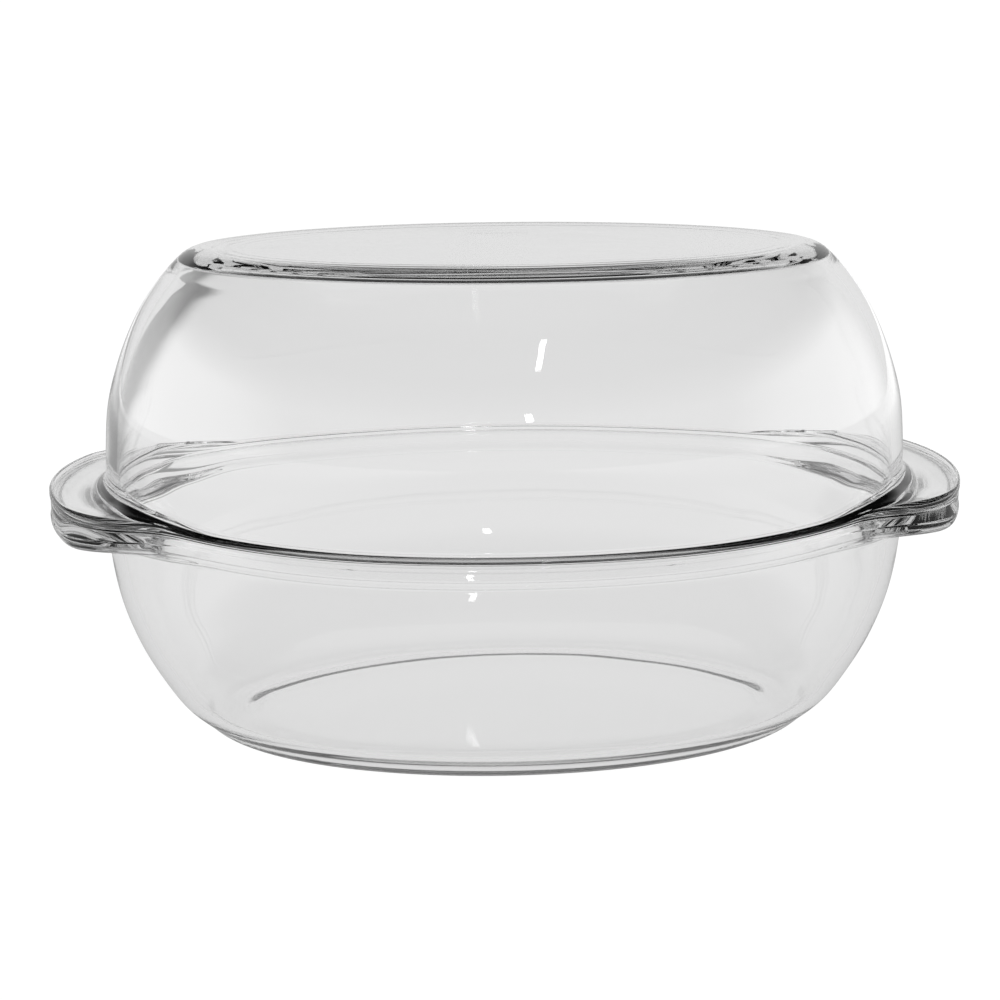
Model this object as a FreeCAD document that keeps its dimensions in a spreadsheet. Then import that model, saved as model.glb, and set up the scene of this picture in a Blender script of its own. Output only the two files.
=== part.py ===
import FreeCAD, Part
import math
import os
import Sketcher

# A covered oval casserole in pressed glass, in millimetres, +Z up. The origin is under the centre of the
# foot, +X runs along the handles. Every oval is an ellipse given by its inset from one master oval, so the
# walls keep the same lean all the way round. There are two pieces: the dish, and the lid that sits on it.

DIMENSIONS = [
    # The master oval, and the levels of the dish and the lid.
    ("oval_half_length", 165.0),
    ("oval_half_width", 119.0),
    ("dish_height", 98.0),
    ("seat_gap", 0.3),
    # The rim collar of the dish and the flange of the lid stand out from the master oval.
    ("collar_overhang", 2.5),
    ("collar_height", 7.5),
    ("flange_height", 3.8),
    # The end handles: a blunt tab with a shallow tip arc, a rounder corner arc each side, and straight sides.
    ("tab_reach", 186.5),
    ("tip_radius", 120.0),
    ("corner_radius", 36.0),
    ("side_across", 68.7),
    ("tab_root", 120.0),
    ("dish_tab_height", 12.5),
    ("lid_tab_height", 3.8),
    # The foot: a flat land round a shallow recess.
    ("foot_recess_inset", 51.0),
    ("foot_recess_depth", 1.2),
    # Rounded edges.
    ("base_edge_radius", 9.0),
    ("tab_under_radius", 3.0),
    ("tab_corner_radius", 10.0),
    ("rim_edge_radius", 1.2),
    ("crown_edge_radius", 8.0),
    ("flange_edge_radius", 1.0),
]

# Height above the piece's own lowest plane, and inset from the master oval, up each wall.
DISH_OUTSIDE = [
    ("dish_out_a", 0.0, 43.0),
    ("dish_out_b", 5.0, 36.5),
    ("dish_out_c", 13.0, 28.0),
    ("dish_out_d", 25.0, 19.5),
    ("dish_out_e", 40.0, 11.5),
    ("dish_out_f", 60.0, 4.5),
    ("dish_out_g", 80.0, 1.2),
    ("dish_out_i", 98.0, 0.5),
]
DISH_INSIDE = [
    ("dish_in_a", 6.0, 43.3),
    ("dish_in_b", 9.0, 39.5),
    ("dish_in_c", 13.0, 35.0),
    ("dish_in_d", 18.0, 30.3),
    ("dish_in_e", 27.0, 24.1),
    ("dish_in_f", 40.0, 17.0),
    ("dish_in_g", 60.0, 9.6),
    ("dish_in_i", 80.0, 6.2),
    ("dish_in_j", 99.0, 5.5),
]
LID_OUTSIDE = [
    ("lid_out_a", 0.0, 0.5),
    ("lid_out_b", 20.0, 1.0),
    ("lid_out_c", 41.0, 3.5),
    ("lid_out_d", 61.0, 9.5),
    ("lid_out_e", 77.0, 17.0),
    ("lid_out_f", 89.0, 25.3),
    ("lid_out_g", 96.0, 31.5),
    ("lid_out_i", 101.7, 38.0),
]
LID_INSIDE = [
    ("lid_in_a", -1.0, 5.0),
    ("lid_in_b", 20.0, 5.5),
    ("lid_in_c", 41.0, 8.1),
    ("lid_in_d", 61.0, 14.3),
    ("lid_in_e", 77.0, 22.2),
    ("lid_in_f", 85.0, 27.9),
    ("lid_in_g", 92.0, 34.5),
    ("lid_in_i", 96.7, 41.0),
]

SIZE = dict(DIMENSIONS)

doc = FreeCAD.newDocument("CoveredCasserole")


def dimension_sheet():
    """The sheet of driving dimensions, one named cell each."""
    sheet = doc.addObject("Spreadsheet::Sheet", "Dimensions")
    rows = list(DIMENSIONS)
    for section in DISH_OUTSIDE + DISH_INSIDE + LID_OUTSIDE + LID_INSIDE:
        rows.append((section[0] + "_level", section[1]))
        rows.append((section[0] + "_inset", section[2]))
    for row, (name, value) in enumerate(rows, start=1):
        sheet.set("A%d" % row, name)
        sheet.set("B%d" % row, str(value))
        sheet.setAlias("B%d" % row, name)
    doc.recompute()
    return sheet


def new_body(name):
    body = doc.addObject("PartDesign::Body", name)
    body.Label = name
    return body


def level_sketch(body, name, level):
    """An empty sketch parallel to the body's XY plane, at a level bound to the sheet."""
    sketch = body.newObject("Sketcher::SketchObject", name)
    planes = [f for f in body.Origin.OriginFeatures if f.Role == "XY_Plane"]
    sketch.AttachmentSupport = [(planes[0], "")]
    sketch.MapMode = "FlatFace"
    sketch.setExpression("AttachmentOffset.Base.z", level)
    return sketch


def bind(sketch, constraint, name, expression):
    """Adds a driving constraint, names it and binds it to the sheet."""
    index = sketch.addConstraint(constraint)
    sketch.renameConstraint(index, name)
    sketch.setExpression("Constraints." + name, expression)


def oval_sketch(body, name, level, inset):
    """An ellipse centred on the axis, smaller all round than the master oval by the inset."""
    sketch = level_sketch(body, name, level)
    long_end = FreeCAD.Vector(150, 0, 0)
    short_end = FreeCAD.Vector(0, 100, 0)
    sketch.addGeometry(Part.Ellipse(long_end, short_end, FreeCAD.Vector(0, 0, 0)), False)
    sketch.exposeInternalGeometry(0)
    sketch.addConstraint(Sketcher.Constraint("Coincident", 0, 3, -1, 1))
    sketch.addConstraint(Sketcher.Constraint("Horizontal", 1))
    length = Sketcher.Constraint("Distance", 1, 300.0)
    width = Sketcher.Constraint("Distance", 2, 200.0)
    bind(sketch, length, "oval_length", "2 * (Dimensions.oval_half_length - (%s))" % inset)
    bind(sketch, width, "oval_width", "2 * (Dimensions.oval_half_width - (%s))" % inset)
    return sketch


def oval_loft(body, kind, name, sections):
    """A smooth wall through the ovals of one table, added or cut away."""
    sketches = []
    for alias, _, _ in sections:
        level = "Dimensions.%s_level" % alias
        inset = "Dimensions.%s_inset" % alias
        sketches.append(oval_sketch(body, alias, level, inset))
    doc.recompute()
    loft = body.newObject("PartDesign::" + kind, name)
    loft.Profile = sketches[0]
    loft.Sections = sketches[1:]
    loft.Ruled = False
    doc.recompute()
    return loft


def pad(body, sketch, name, length, downwards=False):
    feature = body.newObject("PartDesign::Pad", name)
    feature.Profile = sketch
    feature.setExpression("Length", length)
    feature.Reversed = downwards
    doc.recompute()
    return feature


def tab_sketch(body, name, level, side):
    """One handle's outline: a shallow tip arc, then a corner arc and a straight side each way to the root."""
    sketch = level_sketch(body, name, level)
    tip_radius = SIZE["tip_radius"]
    corner_radius = SIZE["corner_radius"]
    across = SIZE["side_across"]
    root = SIZE["tab_root"]
    tip_centre = SIZE["tab_reach"] - tip_radius
    corner_across = across - corner_radius
    lean = math.asin(corner_across / (tip_radius - corner_radius))
    corner_along = tip_centre + (tip_radius - corner_radius) * math.cos(lean)
    touch_along = tip_centre + tip_radius * math.cos(lean)
    touch_across = tip_radius * math.sin(lean)

    def at(x, y):
        return FreeCAD.Vector(side * x, y, 0)

    def arc(centre, radius, start, end):
        """The arc between two points, counter-clockwise."""
        circle = Part.Circle(centre, FreeCAD.Vector(0, 0, 1), radius)
        first = math.atan2(start.y - centre.y, start.x - centre.x)
        last = math.atan2(end.y - centre.y, end.x - centre.x)
        if last < first:
            last += 2 * math.pi
        return Part.ArcOfCircle(circle, first, last)

    high_touch = at(touch_along, touch_across)
    low_touch = at(touch_along, -touch_across)
    high_end = at(corner_along, across)
    low_end = at(corner_along, -across)
    high_centre = at(corner_along, corner_across)
    low_centre = at(corner_along, -corner_across)
    if side > 0:
        sketch.addGeometry(arc(at(tip_centre, 0), tip_radius, low_touch, high_touch), False)
        sketch.addGeometry(arc(high_centre, corner_radius, high_touch, high_end), False)
        sketch.addGeometry(arc(low_centre, corner_radius, low_end, low_touch), False)
    else:
        sketch.addGeometry(arc(at(tip_centre, 0), tip_radius, high_touch, low_touch), False)
        sketch.addGeometry(arc(high_centre, corner_radius, high_end, high_touch), False)
        sketch.addGeometry(arc(low_centre, corner_radius, low_touch, low_end), False)
    sketch.addGeometry(Part.LineSegment(high_end, at(root, across)), False)
    sketch.addGeometry(Part.LineSegment(at(root, across), at(root, -across)), False)
    sketch.addGeometry(Part.LineSegment(at(root, -across), low_end), False)
    # Which end of each arc meets its neighbour depends on the side, because arcs run counter-clockwise.
    tip_high, tip_low = (2, 1) if side > 0 else (1, 2)
    high_at_tip, high_at_side = (1, 2) if side > 0 else (2, 1)
    low_at_tip, low_at_side = (2, 1) if side > 0 else (1, 2)
    sketch.addConstraint(Sketcher.Constraint("Tangent", 0, tip_high, 1, high_at_tip))
    sketch.addConstraint(Sketcher.Constraint("Tangent", 0, tip_low, 2, low_at_tip))
    sketch.addConstraint(Sketcher.Constraint("Tangent", 1, high_at_side, 3, 1))
    sketch.addConstraint(Sketcher.Constraint("Coincident", 3, 2, 4, 1))
    sketch.addConstraint(Sketcher.Constraint("Coincident", 4, 2, 5, 1))
    sketch.addConstraint(Sketcher.Constraint("Tangent", 5, 2, 2, low_at_side))
    sketch.addConstraint(Sketcher.Constraint("Horizontal", 3))
    sketch.addConstraint(Sketcher.Constraint("Vertical", 4))
    sketch.addConstraint(Sketcher.Constraint("Horizontal", 5))
    sketch.addConstraint(Sketcher.Constraint("PointOnObject", 0, 3, -1))
    sketch.addConstraint(Sketcher.Constraint("Equal", 1, 2))
    sign = "" if side > 0 else "-"
    radius = Sketcher.Constraint("Radius", 0, tip_radius)
    bind(sketch, radius, "tip_radius", "Dimensions.tip_radius")
    radius = Sketcher.Constraint("Radius", 1, corner_radius)
    bind(sketch, radius, "corner_radius", "Dimensions.corner_radius")
    centre = Sketcher.Constraint("DistanceX", -1, 1, 0, 3, side * tip_centre)
    bind(sketch, centre, "tip_centre", sign + "(Dimensions.tab_reach - Dimensions.tip_radius)")
    across_line = Sketcher.Constraint("DistanceY", -1, 1, 3, 1, across)
    bind(sketch, across_line, "side_across", "Dimensions.side_across")
    root_line = Sketcher.Constraint("DistanceX", -1, 1, 4, 1, side * root)
    bind(sketch, root_line, "root", sign + "Dimensions.tab_root")
    return sketch


def edges_where(feature, test):
    """Names of the feature's edges that pass a test on their bounding box."""
    names = []
    for number, edge in enumerate(feature.Shape.Edges, start=1):
        if test(edge.BoundBox):
            names.append("Edge%d" % number)
    return names


def round_edges(body, base, name, radius, test):
    """Rounds every edge that passes the test with one radius from the sheet."""
    names = edges_where(base, test)
    if not names:
        raise RuntimeError(name + ": no edge found")
    fillet = body.newObject("PartDesign::Fillet", name)
    fillet.Base = (base, names)
    fillet.setExpression("Radius", radius)
    doc.recompute()
    return fillet


def flat_at(level):
    """A test for an edge that lies in one level plane."""
    return lambda box: abs(box.ZMin - level) < 0.01 and abs(box.ZMax - level) < 0.01


def tab_corner(box):
    """A test for the upright edge where a handle's side meets the collar or the flange."""
    upright = box.XLength < 0.1 and box.YLength < 0.1 and box.ZLength > 3.0
    along = max(abs(box.XMin), abs(box.XMax))
    across = max(abs(box.YMin), abs(box.YMax))
    return upright and SIZE["tab_root"] + 5 < along < SIZE["oval_half_length"] and across > 50


def build_dish():
    """The dish: wall, rim collar, two handles, cavity and foot."""
    body = new_body("dish")
    oval_loft(body, "AdditiveLoft", "dish_wall", DISH_OUTSIDE)
    top = "Dimensions.dish_height"
    collar = oval_sketch(body, "collar_oval", top, "-Dimensions.collar_overhang")
    pad(body, collar, "collar", "Dimensions.collar_height", downwards=True)
    for side, name in ((1, "right"), (-1, "left")):
        tab = tab_sketch(body, name + "_tab_outline", top, side)
        pad(body, tab, name + "_tab", "Dimensions.dish_tab_height", downwards=True)
    solid = body.Tip.Shape.Volume
    cavity = oval_loft(body, "SubtractiveLoft", "cavity", DISH_INSIDE)
    assert cavity.Shape.Volume < 0.5 * solid
    recess = oval_sketch(body, "recess_oval", "0 mm", "Dimensions.foot_recess_inset")
    pocket = body.newObject("PartDesign::Pocket", "foot_recess")
    pocket.Profile = recess
    pocket.setExpression("Length", "Dimensions.foot_recess_depth")
    pocket.Reversed = True
    doc.recompute()
    assert pocket.Shape.Volume < cavity.Shape.Volume - 1000
    height = SIZE["dish_height"]
    tab_under = height - SIZE["dish_tab_height"]
    foot_length = 2 * (SIZE["oval_half_length"] - SIZE["foot_recess_inset"])
    last = round_edges(
        body, pocket, "base_edge", "Dimensions.base_edge_radius",
        lambda box: flat_at(0.0)(box) and box.XLength > foot_length + 5)
    last = round_edges(
        body, last, "tab_corners", "Dimensions.tab_corner_radius",
        lambda box: tab_corner(box) and box.ZMax > height - 1)
    last = round_edges(
        body, last, "tab_under_edges", "Dimensions.tab_under_radius",
        lambda box: flat_at(tab_under)(box) and max(abs(box.XMin), abs(box.XMax)) > SIZE["tab_reach"] - 1)
    last = round_edges(
        body, last, "rim_edges", "Dimensions.rim_edge_radius",
        lambda box: flat_at(height)(box))
    body.Tip = last
    return body


def build_lid():
    """The lid: wall with a flat crown, flange, two handles and the hollow under it."""
    body = new_body("lid")
    seat = FreeCAD.Vector(0, 0, SIZE["dish_height"] + SIZE["seat_gap"])
    body.Placement = FreeCAD.Placement(seat, FreeCAD.Rotation())
    body.setExpression("Placement.Base.z", "Dimensions.dish_height + Dimensions.seat_gap")
    oval_loft(body, "AdditiveLoft", "lid_wall", LID_OUTSIDE)
    flange = oval_sketch(body, "flange_oval", "0 mm", "-Dimensions.collar_overhang")
    pad(body, flange, "flange", "Dimensions.flange_height")
    for side, name in ((1, "right"), (-1, "left")):
        tab = tab_sketch(body, name + "_lid_tab_outline", "0 mm", side)
        pad(body, tab, name + "_lid_tab", "Dimensions.lid_tab_height")
    solid = body.Tip.Shape.Volume
    hollow = oval_loft(body, "SubtractiveLoft", "hollow", LID_INSIDE)
    assert hollow.Shape.Volume < 0.5 * solid
    crown = LID_OUTSIDE[-1][1]
    flange_top = SIZE["flange_height"]
    last = round_edges(
        body, hollow, "crown_edge", "Dimensions.crown_edge_radius",
        lambda box: flat_at(crown)(box))
    last = round_edges(
        body, last, "lid_tab_corners", "Dimensions.tab_corner_radius", tab_corner)
    last = round_edges(
        body, last, "flange_edges", "Dimensions.flange_edge_radius",
        lambda box: box.XLength > 20 and box.YLength > 50 and (flat_at(0.0)(box) or flat_at(flange_top)(box)))
    body.Tip = last
    return body


def check(body):
    """Stops before anything is written if any feature failed."""
    for thing in doc.Objects:
        if "Invalid" in thing.State or "Error" in thing.State:
            raise RuntimeError(thing.Name + " failed: " + str(thing.State))
    if body.Shape.isNull() or not body.Shape.isValid():
        raise RuntimeError(body.Label + " has no valid shape")


dimension_sheet()
bodies = [build_dish(), build_lid()]
doc.recompute()
for piece in bodies:
    check(piece)
os.makedirs("parts", exist_ok=True)
for piece in bodies:
    piece.Shape.exportStep("parts/%s.step" % piece.Label)
    box = piece.Shape.optimalBoundingBox()
    print(piece.Label, round(piece.Shape.Volume), "mm3", round(box.XLength, 2), round(box.YLength, 2),
          round(box.ZMin, 2), round(box.ZMax, 2), len(piece.Shape.Solids), "solid")
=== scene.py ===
import bpy
import math
import numpy as np
from mathutils import Matrix, Vector


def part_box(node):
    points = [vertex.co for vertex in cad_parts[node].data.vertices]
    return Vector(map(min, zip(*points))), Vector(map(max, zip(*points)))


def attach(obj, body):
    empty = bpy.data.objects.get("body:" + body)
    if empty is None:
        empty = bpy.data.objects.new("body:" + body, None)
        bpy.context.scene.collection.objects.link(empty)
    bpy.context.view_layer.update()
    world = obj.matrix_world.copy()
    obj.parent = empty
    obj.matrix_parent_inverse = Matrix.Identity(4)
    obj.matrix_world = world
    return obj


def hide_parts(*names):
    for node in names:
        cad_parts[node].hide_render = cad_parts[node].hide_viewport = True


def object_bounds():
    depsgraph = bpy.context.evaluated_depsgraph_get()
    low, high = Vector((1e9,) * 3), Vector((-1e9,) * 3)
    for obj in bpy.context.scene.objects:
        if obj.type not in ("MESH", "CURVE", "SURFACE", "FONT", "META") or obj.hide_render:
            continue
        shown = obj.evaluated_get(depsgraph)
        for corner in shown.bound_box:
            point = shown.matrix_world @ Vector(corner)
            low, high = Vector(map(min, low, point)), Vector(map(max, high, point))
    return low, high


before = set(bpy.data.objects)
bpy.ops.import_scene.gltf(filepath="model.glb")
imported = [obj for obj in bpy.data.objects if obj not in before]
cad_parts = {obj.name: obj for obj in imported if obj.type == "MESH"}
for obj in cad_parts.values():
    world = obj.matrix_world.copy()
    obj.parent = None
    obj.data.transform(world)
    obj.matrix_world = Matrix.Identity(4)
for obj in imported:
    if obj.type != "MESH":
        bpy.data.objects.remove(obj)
cad_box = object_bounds()

# ---------------------------------------------------------------------------------------------------------
# Sizes, in millimetres in the CAD frame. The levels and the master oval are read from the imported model.
# ---------------------------------------------------------------------------------------------------------
DISH_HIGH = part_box("dish")[1]
LID_LOW, LID_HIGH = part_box("lid")
RIM = DISH_HIGH[2] * 1000
SEAT = LID_LOW[2] * 1000
CROWN = LID_HIGH[2] * 1000
TIP = DISH_HIGH[0] * 1000
OVERHANG = 2.5
HALF_WIDTH = DISH_HIGH[1] * 1000 - OVERHANG
HALF_LENGTH = HALF_WIDTH + 46.0
TIP_RADIUS = 120.0
CORNER_RADIUS = 38.0
SIDE_ACROSS = 68.7
HANDLE_RISE = 4.6
RISE_FROM = 55.0
PARTING_STEP = 0.36
LAND_INSET = 1.0
COLUMNS = 480
FINE_STEPS = 5760
LEAST_STEP = 0.15625


def ramp(low, high, x):
    """0 below low, 1 above high, smooth between."""
    s = np.clip((x - low) / (high - low), 0.0, 1.0)
    return s * s * (3 - 2 * s)


def units(angle):
    return np.stack([np.cos(angle), np.sin(angle)], 1)


def normals(unit):
    """The plan direction square to the oval at each point."""
    n = unit / np.array([HALF_LENGTH, HALF_WIDTH])
    return n / np.linalg.norm(n, axis=1)[:, None]


def tab_distance(points):
    """Signed plan distance to a handle's outline: shallow tip arc, corner arcs and straight sides."""
    x, y = np.abs(points[:, 0]), np.abs(points[:, 1])
    tip_centre = TIP - TIP_RADIUS
    corner_y = SIDE_ACROSS - CORNER_RADIUS
    lean = math.asin(corner_y / (TIP_RADIUS - CORNER_RADIUS))
    corner_x = tip_centre + (TIP_RADIUS - CORNER_RADIUS) * math.cos(lean)
    tip = np.hypot(x - tip_centre, y) - TIP_RADIUS
    corner = np.hypot(x - corner_x, y - corner_y) - CORNER_RADIUS
    side = y - SIDE_ACROSS
    return np.where(y < (x - tip_centre) * math.tan(lean), tip, np.where(x > corner_x, corner, side))


def outline_distance(points, blend=11.0):
    """Signed plan distance, near enough, to the rim's outline: the oval softly joined to its two handles."""
    a, b = HALF_LENGTH + OVERHANG, HALF_WIDTH + OVERHANG
    k = np.hypot(points[:, 0] / a, points[:, 1] / b)
    slope = np.hypot(points[:, 0] / a ** 2, points[:, 1] / b ** 2) / np.maximum(k, 1e-6)
    to_oval = (k - 1) / slope
    to_tab = tab_distance(points)
    mix = np.clip(0.5 + 0.5 * (to_oval - to_tab) / blend, 0, 1)
    return to_oval * (1 - mix) + to_tab * mix - blend * mix * (1 - mix)


def reach(unit):
    """How far the rim runs out from the master oval, along the oval's own normal."""
    base = unit * np.array([HALF_LENGTH, HALF_WIDTH])
    out = normals(unit)
    low = np.zeros(len(unit))
    high = np.full(len(unit), 60.0)
    for _ in range(36):
        middle = (low + high) / 2
        inside = outline_distance(base + out * middle[:, None]) < 0
        low = np.where(inside, middle, low)
        high = np.where(inside, high, middle)
    return (low + high) / 2


def column_angles():
    """Angles of the mesh columns, spaced nearly evenly along the rim's outline."""
    fine = np.linspace(0.0, 2 * math.pi, FINE_STEPS + 1)
    unit = units(fine)
    outline = unit * np.array([HALF_LENGTH, HALF_WIDTH]) + normals(unit) * reach(unit)[:, None]
    step = np.linalg.norm(np.diff(outline, axis=0), axis=1) + LEAST_STEP
    run = np.concatenate([[0.0], np.cumsum(step)])
    return np.interp(np.linspace(0, run[-1], COLUMNS, endpoint=False), run, fine)


UNIT = units(column_angles())
NORMAL = normals(UNIT)
REACH = reach(UNIT)
THICK = 1 - ramp(48.0, 88.0, np.abs(UNIT[:, 1] * HALF_WIDTH + NORMAL[:, 1] * REACH))


def full(value):
    return np.broadcast_to(np.asarray(value, float), (COLUMNS,))


def oval(inset):
    """Plan points of the ellipse that lies this far inside the master oval; the inset may vary by column."""
    inset = full(inset)
    return UNIT * np.column_stack([HALF_LENGTH - inset, HALF_WIDTH - inset])


def beyond(out):
    """Plan points this far outside the master oval, square to it."""
    return oval(0.0) + NORMAL * full(out)[:, None]


def handle_lift(plan, height):
    """The rim and both handles rise gently towards the two tips, the dish and the lid alike."""
    along = np.clip((np.abs(plan[:, 0]) - RISE_FROM) / (TIP - RISE_FROM), 0.0, 1.0)
    near = ramp(RIM - 48.0, RIM - 8.0, height) * (1 - ramp(SEAT + 6.0, SEAT + 55.0, height))
    return HANDLE_RISE * along ** 1.7 * near


class Shell:
    """A closed surface of rings, from the middle of one side to the middle of the other."""

    def __init__(self):
        self.rings = []

    def ring(self, plan, height):
        height = full(height)
        self.rings.append(np.column_stack([plan, height + handle_lift(plan, height)]))

    def disc(self, inset, height, outwards):
        """Rings of a flat oval plate, between its middle and its edge."""
        fractions = [0.12, 0.3, 0.5, 0.68, 0.82, 0.92, 0.97]
        for f in fractions if outwards else fractions[::-1]:
            self.ring(oval(inset) * f, height)

    def wall(self, path):
        """Rings along a list of (inset, height) points."""
        for inset, height in path:
            self.ring(oval(inset), height)

    def stretched(self, path, fixed, end):
        """Rings along a path whose part past the fixed height is squeezed to finish at each column's end."""
        path = np.array(path)
        order = np.argsort(path[:, 1])
        for height in path[:, 1]:
            share = (height - fixed) / (path[-1, 1] - fixed)
            moved = full(height) if share < 0 else fixed + share * (full(end) - fixed)
            self.ring(oval(np.interp(moved, path[order, 1], path[order, 0])), moved)

    def build(self, name, first_height, last_height):
        rings = np.array(self.rings)
        count = len(rings)
        points = rings.reshape(-1, 3)
        middle = np.array([[0, 0, first_height], [0, 0, last_height]])
        points = np.vstack([points, middle]) / 1000
        here = np.arange(COLUMNS)
        beside = np.roll(here, -1)
        faces = []
        for r in range(count - 1):
            low, high = r * COLUMNS, (r + 1) * COLUMNS
            faces.append(np.stack([low + here, low + beside, high + beside, high + here], 1))
        quads = np.vstack(faces).tolist()
        first, last = count * COLUMNS, count * COLUMNS + 1
        top = (count - 1) * COLUMNS
        fan = [(first, int(b), int(a)) for a, b in zip(here, beside)]
        fan += [(last, top + int(a), top + int(b)) for a, b in zip(here, beside)]
        mesh = bpy.data.meshes.new(name)
        mesh.from_pydata(points.tolist(), [], quads + fan)
        mesh.update()
        if volume(points, quads + fan) < 0:
            mesh.flip_normals()
        piece = bpy.data.objects.new(name, mesh)
        bpy.context.scene.collection.objects.link(piece)
        mesh.polygons.foreach_set("use_smooth", [True] * len(mesh.polygons))
        return piece


def volume(points, faces):
    """Signed volume, positive when the faces look outwards."""
    total = 0.0
    quads = np.array([f for f in faces if len(f) == 4])
    fans = np.array([f for f in faces if len(f) == 3])
    for corners in (quads[:, [0, 1, 2]], quads[:, [0, 2, 3]], fans):
        a, b, c = points[corners[:, 0]], points[corners[:, 1]], points[corners[:, 2]]
        total += np.einsum("ij,ij->i", a, np.cross(b, c)).sum() / 6
    return total


def curve(knots, steps):
    """Even points along a smooth curve through (inset, height) knots, by centripetal Catmull-Rom."""
    p = np.array(knots, float)
    p = np.vstack([2 * p[0] - p[1], p, 2 * p[-1] - p[-2]])
    dense = []
    for i in range(1, len(p) - 2):
        t = [0.0]
        for j in range(3):
            t.append(t[-1] + np.linalg.norm(p[i + j] - p[i + j - 1]) ** 0.5)
        for s in np.linspace(t[1], t[2], 24, endpoint=False):
            a = [(p[i + j - 1] * (t[j + 1] - s) + p[i + j] * (s - t[j])) / (t[j + 1] - t[j])
                 for j in range(3)]
            b = [(a[j] * (t[j + 2] - s) + a[j + 1] * (s - t[j])) / (t[j + 2] - t[j]) for j in range(2)]
            dense.append((b[0] * (t[2] - s) + b[1] * (s - t[1])) / (t[2] - t[1]))
    dense.append(p[-2])
    dense = np.array(dense)
    run = np.concatenate([[0], np.cumsum(np.linalg.norm(np.diff(dense, axis=0), axis=1))])
    at = np.linspace(0, run[-1], steps)
    return np.column_stack([np.interp(at, run, dense[:, 0]), np.interp(at, run, dense[:, 1])])


def offset(path, thickness):
    """The path moved square to itself, to the left of its direction."""
    d = np.gradient(path, axis=0)
    d /= np.linalg.norm(d, axis=1)[:, None]
    return path + np.column_stack([-d[:, 1], d[:, 0]]) * thickness


def bend(corner, before, after, radius, steps):
    """Points of a round corner: (inset, height) corner, unit directions in and out, and tangent length."""
    out = []
    for s in np.linspace(0, 1, steps):
        p = (1 - s) ** 2 * (np.array(corner) - np.array(before) * radius)
        p = p + 2 * s * (1 - s) * np.array(corner) + s ** 2 * (np.array(corner) + np.array(after) * radius)
        out.append(p)
    return out


def rounded(shell, edge, level, radius, up, inwards, steps):
    """A rounded edge between a level face and the side; up is +1 for a bottom edge and -1 for a top edge."""
    turns = np.linspace(0, math.pi / 2, steps)
    for turn in turns[::-1] if inwards else turns:
        shell.ring(beyond(edge - radius * (1 - math.sin(turn))), level + up * radius * (1 - math.cos(turn)))


def swell_to_edge(shell, steps, start, end, inner, share):
    """Rings that follow the given steps on the handles and a soft S from wall to rim everywhere else."""
    for number, (out, height) in enumerate(steps, start=1):
        f = number / len(steps)
        soft_out = inner + (REACH - inner) * float(ramp(0.0, 1.0, f))
        soft_height = start + (end - start) * f
        shell.ring(beyond(full(out) * share + soft_out * (1 - share)),
                   full(height) * share + soft_height * (1 - share))


# ---------------------------------------------------------------------------------------------------------
# The dish.
# ---------------------------------------------------------------------------------------------------------
WALL = 5.0
FLOOR = 6.0
RECESS_INSET = 62.0
RECESS_EASE = 11.0
RECESS_DEPTH = 1.2
NECK = -0.8
DISH_KNOTS = [(45.5, 0.0), (42.4, 0.7), (39.2, 2.6), (35.9, 5.6), (27.7, 13.0), (19.5, 25.0), (11.5, 40.0),
              (4.5, 60.0), (1.2, 80.0), (0.8, 90.0)]


def make_dish():
    shell = Shell()
    shell.disc(RECESS_INSET, RECESS_DEPTH, True)
    for f in (0.0, 0.15, 0.3, 0.5, 0.7, 0.85, 1.0):
        shell.ring(oval(RECESS_INSET - RECESS_EASE * f), RECESS_DEPTH * (1 - f) ** 2 * (1 + 2 * f))
    under = RIM - 7.5 - 5.0 * THICK
    cove = 2.6
    start = under - 3.0 + (3.0 - cove) * THICK
    shell.stretched(curve(DISH_KNOTS, 60), 60.0, start)
    # Beside the handles the wall swells softly into the collar; under them it turns out into a flat.
    under_radius = 4.6
    flat = cove + NECK
    steps = []
    for turn in np.linspace(0, math.pi / 2, 7)[1:]:
        steps.append((NECK + cove * (1 - math.cos(turn)), under - cove * (1 - math.sin(turn))))
    for f in (0.2, 0.45, 0.7, 0.9):
        steps.append((flat * (1 - f) + (REACH - under_radius) * f, under))
    for turn in np.linspace(0, math.pi / 2, 10):
        steps.append((REACH - under_radius * (1 - math.sin(turn)),
                      under + under_radius * (1 - math.cos(turn))))
    swell_to_edge(shell, steps, start, under + cove, NECK, THICK)
    # The mould's parting line is a slight step round the rim.
    parting = RIM - 2.3 - 4.7 * THICK
    shell.ring(beyond(REACH), parting - 0.5)
    shell.ring(beyond(REACH), parting - 0.12)
    upper_edge = REACH - PARTING_STEP
    shell.ring(beyond(upper_edge), parting + 0.12)
    shell.ring(beyond(upper_edge), parting + 0.4)
    over_radius = 1.3
    rounded(shell, upper_edge, RIM, over_radius, -1, True, 8)
    for f in (0.8, 0.55, 0.3, 0.1):
        shell.ring(beyond((upper_edge - over_radius) * f - LAND_INSET * (1 - f)), RIM)
    inner = 0.5 + WALL
    shell.wall([(inner - 1.6, RIM), (inner - 1.1, RIM - 0.08), (inner - 0.6, RIM - 0.35),
                (inner - 0.2, RIM - 0.9), (inner, RIM - 1.6)])
    inside = offset(curve([(46.5, 0.0), (41.0, 2.2)] + DISH_KNOTS[3:-1] + [(0.7, 98.0)], 60), -WALL)
    keep = [p for p in inside[::-1] if 9.0 < p[1] < RIM - 3]
    shell.wall(keep)
    last = keep[-1]
    shell.wall(bend((last[0] + 4.5, FLOOR), (0.78, -0.62), (1.0, 0.0), 4.0, 9)[1:])
    shell.disc(last[0] + 9.5, FLOOR, False)
    return shell.build("glass_dish", RECESS_DEPTH, FLOOR)


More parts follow.
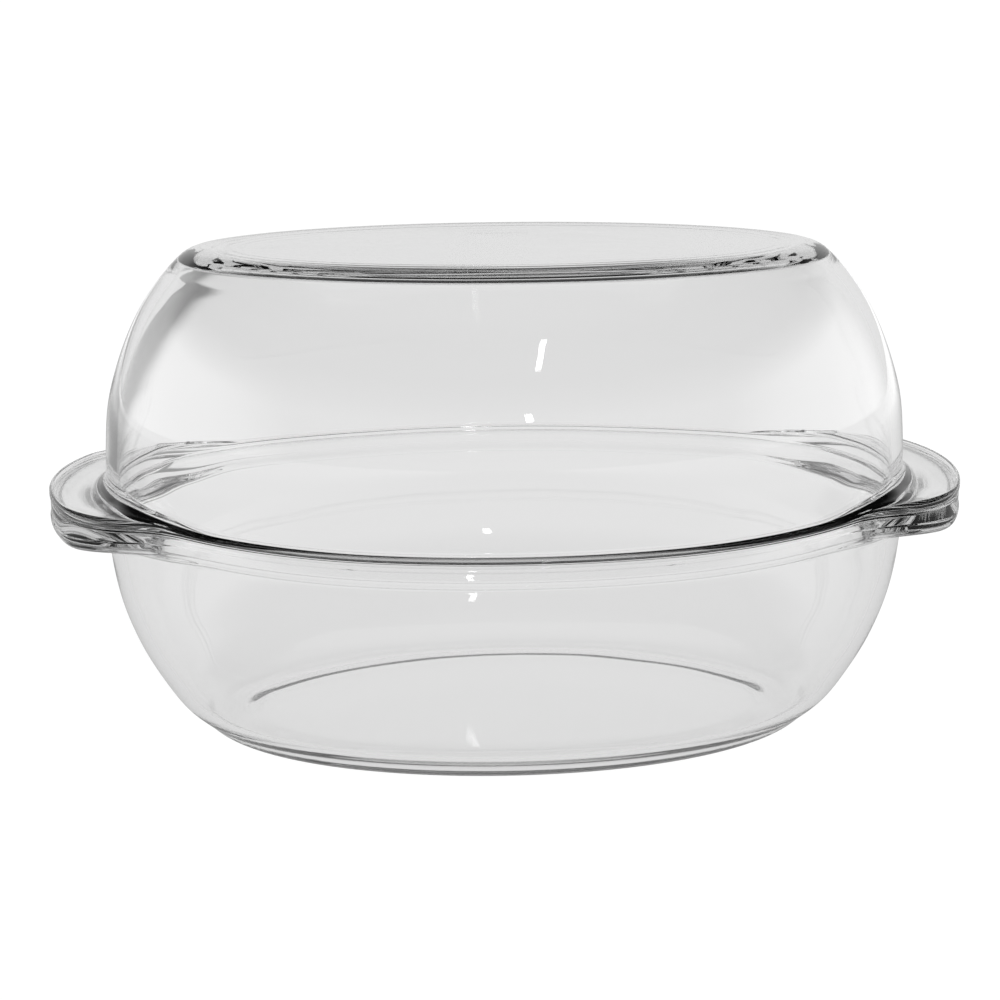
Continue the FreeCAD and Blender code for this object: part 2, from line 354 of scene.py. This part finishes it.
# ---------------------------------------------------------------------------------------------------------
# The lid.
# ---------------------------------------------------------------------------------------------------------
LID_WALL = 4.5
LID_NECK = -1.1
CEILING = CROWN - 5.0
LID_KNOTS = [(0.9, 3.0), (1.2, 10.0), (1.6, 20.0), (3.6, 41.0), (9.5, 61.0), (17.0, 77.0), (25.3, 89.0),
             (31.5, 96.0), (35.0, 99.2), (38.5, 101.1), (42.5, 101.7)]


def make_lid():
    shell = Shell()
    shell.disc(46.0, CROWN, True)
    knots = [(inset, SEAT + height) for inset, height in LID_KNOTS]
    top = SEAT + 3.8
    cove = 5.2
    start = SEAT + 2.6 + (1.2 + cove) * THICK
    shell.stretched(curve(knots[::-1], 66), SEAT + 41.0, start)
    # The wall turns out, through a hollow, onto the handles; elsewhere it swells into the flange.
    foot = cove + LID_NECK
    edge_radius = 1.3
    under_radius = 1.1
    steps = []
    for turn in np.linspace(0, math.pi / 2, 11)[1:]:
        steps.append((LID_NECK + cove * (1 - math.cos(turn)), top + cove * (1 - math.sin(turn))))
    for f in (0.12, 0.3, 0.55, 0.8, 0.95):
        steps.append((foot * (1 - f) + (REACH - edge_radius) * f, top - 0.7 * math.sin(math.pi * f)))
    for turn in np.linspace(0, math.pi / 2, 8):
        steps.append((REACH - edge_radius * (1 - math.sin(turn)), top - edge_radius * (1 - math.cos(turn))))
    swell_to_edge(shell, steps, start, SEAT + 1.2, LID_NECK, THICK)
    rounded(shell, REACH, SEAT, under_radius, 1, True, 7)
    for f in (0.8, 0.55, 0.3, 0.1):
        shell.ring(beyond((REACH - under_radius) * f - LAND_INSET * (1 - f)), SEAT)
    inner = 1.0 + LID_WALL
    shell.wall([(inner - 1.6, SEAT), (inner - 1.0, SEAT + 0.1), (inner - 0.5, SEAT + 0.4),
                (inner - 0.15, SEAT + 0.9), (inner, SEAT + 1.6)])
    inside = offset(curve([(0.8, SEAT - 1.0)] + knots[2:8] + [(38.0, SEAT + 103.0)], 66), -LID_WALL)
    keep = [p for p in inside if SEAT + 3 < p[1] < CROWN - 9.5]
    shell.wall(keep)
    last = keep[-1]
    shell.wall(bend((last[0] + 4.6, CEILING), (0.72, 0.69), (1.0, 0.0), 4.0, 9)[1:])
    # Faint rings from the mould round the edge of the crown.
    for step in range(1, 15):
        inset = last[0] + 9.0 + 1.3 * step
        fade = 1 - step / 15
        shell.ring(oval(inset), CEILING + 0.06 * fade * math.sin(2 * math.pi * step / 4.0))
    shell.disc(last[0] + 29.0, CEILING, False)
    return shell.build("glass_lid", CROWN, CEILING)


# ---------------------------------------------------------------------------------------------------------
# Materials.
# ---------------------------------------------------------------------------------------------------------
class Tree:
    """A node tree with short ways to add and join its nodes; a value may be a number or another socket."""

    def __init__(self, tree):
        self.nodes = tree.nodes
        self.links = tree.links

    def add(self, kind, **values):
        node = self.nodes.new(kind)
        for name, value in values.items():
            self.feed(node.inputs[name.replace("_", " ")], value)
        return node

    def feed(self, socket, value):
        if isinstance(value, bpy.types.NodeSocket):
            self.links.new(value, socket)
        else:
            socket.default_value = value

    def span(self, value, to_low, to_high, low=0.0, high=1.0, smooth=False):
        """The value, which runs from low to high, spread over to_low to to_high."""
        node = self.add("ShaderNodeMapRange", Value=value, From_Min=low, From_Max=high,
                        To_Min=to_low, To_Max=to_high)
        if smooth:
            node.interpolation_type = "SMOOTHSTEP"
        return node.outputs["Result"]

    def maths(self, operation, *values):
        node = self.nodes.new("ShaderNodeMath")
        node.operation = operation
        for socket, value in zip(node.inputs, values):
            self.feed(socket, value)
        return node.outputs["Value"]

    def axes(self, vector):
        return self.add("ShaderNodeSeparateXYZ", Vector=vector).outputs


def grey(level):
    return (level, level, level, 1)


def new_material(name):
    material = bpy.data.materials.new(name)
    material.use_nodes = True
    return material, Tree(material.node_tree)


def glass_material(name, seed):
    """Clear pressed glass: faint mould ripple, fine surface haze, and light let through in shadows."""
    material, tree = new_material(name)
    tree.nodes.clear()
    place = tree.nodes.new("ShaderNodeTexCoord")
    shift = tree.add("ShaderNodeMapping", Vector=place.outputs["Object"],
                     Location=(seed * 1.7, seed * 0.9, seed * 2.3)).outputs["Vector"]
    haze = tree.add("ShaderNodeTexNoise", Vector=shift, Scale=55.0, Detail=6.0)
    gloss = tree.span(haze.outputs["Fac"], 0.0, 0.035, 0.45, 0.8)
    swell = tree.add("ShaderNodeTexNoise", Vector=shift, Scale=16.0, Detail=2.0, Roughness=0.4)
    ripple = tree.add("ShaderNodeBump", Strength=0.2, Distance=0.0006, Height=swell.outputs["Fac"])
    glass = tree.add("ShaderNodeBsdfPrincipled", Base_Color=grey(0.99), Transmission_Weight=1.0, IOR=1.473,
                     Roughness=gloss, Normal=ripple.outputs["Normal"])
    clear = tree.add("ShaderNodeBsdfTransparent", Color=grey(0.95))
    path = tree.nodes.new("ShaderNodeLightPath")
    mix = tree.add("ShaderNodeMixShader", Fac=path.outputs["Is Shadow Ray"])
    tree.feed(mix.inputs[1], glass.outputs["BSDF"])
    tree.feed(mix.inputs[2], clear.outputs["BSDF"])
    tint = tree.add("ShaderNodeVolumeAbsorption", Color=grey(0.1), Density=3.0)
    tree.add("ShaderNodeOutputMaterial", Surface=mix.outputs["Shader"], Volume=tint.outputs["Volume"])
    return material


def floor_material():
    """A glowing table: plain white to the camera, and dimmer to light that meets the glass first, with
    painted shade and a painted reflection in that glow.
    """
    material, tree = new_material("studio_floor")
    surface = tree.nodes["Principled BSDF"]
    surface.inputs["Roughness"].default_value = 0.9
    surface.inputs["Specular IOR Level"].default_value = 0.0
    surface.inputs["Emission Color"].default_value = grey(1.0)
    grain = tree.add("ShaderNodeTexNoise", Scale=3.0)
    tone = tree.nodes.new("ShaderNodeMix")
    tone.data_type = "RGBA"
    tone.inputs["A"].default_value = grey(0.11)
    tone.inputs["B"].default_value = grey(0.13)
    tree.feed(tone.inputs["Factor"], grain.outputs["Fac"])
    tree.feed(surface.inputs["Base Color"], tone.outputs["Result"])
    place = tree.axes(tree.nodes.new("ShaderNodeNewGeometry").outputs["Position"])
    path = tree.nodes.new("ShaderNodeLightPath")
    # Painted shade: the table's glow is dimmed in a patch off to the left and behind. It is seen only
    # through the glass.
    painted_shade_edges = [("X", -0.30, -0.42), ("X", -1.8, -1.5), ("Y", 0.12, 0.24)]
    sides = [tree.span(place[axis], 0.0, 1.0, low, high, True) for axis, low, high in painted_shade_edges]
    painted_shade_patch = tree.maths("MULTIPLY", tree.maths("MULTIPLY", sides[0], sides[1]), sides[2])
    # Painted shade: inside the patch, the glow seen through the glass falls from 0.77 to 0.2.
    table = tree.span(painted_shade_patch, 0.77, 0.2)
    # Painted reflection: the soft boxes at both ends are painted into the table's glow, brighter towards the
    # ends, and only reflections meet them there.
    softbox_light_and_painted_reflection = tree.span(tree.maths("ABSOLUTE", place["X"]), 0.42, 1.5, 0.35, 1.4, True)
    # Light that passed the glass meets the glow with painted shade; all other light meets the painted
    # reflection.
    through = tree.span(path.outputs["Is Transmission Ray"], softbox_light_and_painted_reflection, table)
    # To the camera the table glows plain white; all other rays get the painted shade and the painted
    # reflection.
    glow_with_painted_shade_and_reflection = tree.span(path.outputs["Is Camera Ray"], through, 1.0)
    tree.feed(surface.inputs["Emission Strength"], glow_with_painted_shade_and_reflection)
    return material


# ---------------------------------------------------------------------------------------------------------
# Studio.
# ---------------------------------------------------------------------------------------------------------
def make_floor():
    mesh = bpy.data.meshes.new("studio_floor")
    size, low = 6.0, cad_box[0][2] - 0.0002
    corners = [(-size, -size, low), (size, -size, low), (size, size, low), (-size, size, low)]
    mesh.from_pydata(corners, [], [(0, 1, 2, 3)])
    floor = bpy.data.objects.new("studio_floor", mesh)
    bpy.context.scene.collection.objects.link(floor)
    floor.data.materials.append(floor_material())


def make_world():
    """A studio that is bright at the horizon and dark above it, but plain white to the camera."""
    world = bpy.data.worlds.new("studio")
    bpy.context.scene.world = world
    world.use_nodes = True
    tree = Tree(world.node_tree)
    tree.nodes.clear()
    way = tree.axes(tree.nodes.new("ShaderNodeTexCoord").outputs["Generated"])
    bands = tree.add("ShaderNodeValToRGB", Fac=way["Z"])
    stops = [(0.0, 0.82), (0.35, 0.82), (0.46, 0.32), (0.56, 0.03), (0.80, 0.03), (0.90, 0.2), (1.0, 0.3)]
    elements = bands.color_ramp.elements
    while len(elements) < len(stops):
        elements.new(0.5)
    for element, (position, level) in zip(elements, stops):
        element.position = position
        element.color = grey(level)
    path = tree.nodes.new("ShaderNodeLightPath")
    passed = path.outputs["Is Transmission Ray"]
    dim = tree.span(passed, 0.9, 1.0)
    # Two wide soft boxes stand at the ends of the dish, stronger in reflections than through the glass.
    softbox_light_and_painted_reflection = tree.span(tree.maths("ABSOLUTE", way["X"]), 1.0, tree.span(passed, 3.2, 1.4), 0.72, 0.97, True)
    strength = tree.maths("MULTIPLY", dim, softbox_light_and_painted_reflection)
    lit = tree.add("ShaderNodeBackground", Color=bands.outputs["Color"], Strength=strength)
    seen = tree.add("ShaderNodeBackground", Color=grey(1.0), Strength=1.05)
    mix = tree.add("ShaderNodeMixShader", Fac=path.outputs["Is Camera Ray"])
    tree.feed(mix.inputs[1], lit.outputs["Background"])
    tree.feed(mix.inputs[2], seen.outputs["Background"])
    tree.add("ShaderNodeOutputWorld", Surface=mix.outputs["Shader"])


def area_light(name, place, target, size, power, turn=0.0):
    data = bpy.data.lights.new(name, "AREA")
    data.shape = "RECTANGLE"
    data.size, data.size_y = size
    data.energy = power
    light = bpy.data.objects.new(name, data)
    aim = Vector(target) - Vector(place)
    facing = aim.to_track_quat("-Z", "Y").to_matrix().to_4x4() @ Matrix.Rotation(math.radians(turn), 4, "Z")
    light.matrix_world = Matrix.Translation(place) @ facing
    light.visible_camera = False
    bpy.context.scene.collection.objects.link(light)


def make_camera():
    """The photograph's view: a little above the rim, and nearly square on to the long side."""
    data = bpy.data.cameras.new("camera")
    data.sensor_width = 36.0
    data.lens = 75.36
    data.clip_end = 60.0
    camera = bpy.data.objects.new("camera", data)
    bpy.context.scene.collection.objects.link(camera)
    elevation, azimuth, roll = math.radians(13.85), math.radians(-3.61), math.radians(-0.34)
    distance = 0.8712
    target = Vector((-0.0028, 0.0, 0.0930))
    back = Vector((math.sin(azimuth) * math.cos(elevation), -math.cos(azimuth) * math.cos(elevation),
                   math.sin(elevation)))
    turn = (-back).to_track_quat("-Z", "Y").to_matrix().to_4x4()
    camera.matrix_world = Matrix.Translation(target + back * distance) @ turn @ Matrix.Rotation(roll, 4, "Z")
    bpy.context.scene.camera = camera


def use_piece(piece, node, seed):
    """Give the mesh its glass, and let it stand for its CAD node and move with it."""
    piece.data.materials.append(glass_material(node + "_glass_clear", seed))
    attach(piece, node)
    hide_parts(node)


def set_render(scene):
    """Plain tones, and enough bounces for light to cross four walls of glass."""
    scene.view_settings.view_transform = "Standard"
    scene.view_settings.look = "None"
    scene.cycles.max_bounces = 40
    scene.cycles.transmission_bounces = 40
    scene.cycles.glossy_bounces = 24
    scene.cycles.transparent_max_bounces = 40
    scene.cycles.caustics_reflective = False
    scene.cycles.caustics_refractive = False


def main():
    set_render(bpy.context.scene)
    use_piece(make_dish(), "dish", 1.0)
    use_piece(make_lid(), "lid", 2.0)
    make_floor()
    make_world()
    make_camera()
    front = (0, -0.11, 0.15)
    area_light("overhead", (0.0, 0.3, 2.2), (0, 0, 0), (2.4, 1.6), 4.0)
    area_light("strip_high", (0.135, -0.79, 0.90), front, (0.022, 0.27), 0.19, -13.0)
    area_light("strip_low", (0.085, -1.05, 0.55), front, (0.03, 0.05), 0.07, 8.0)


main()
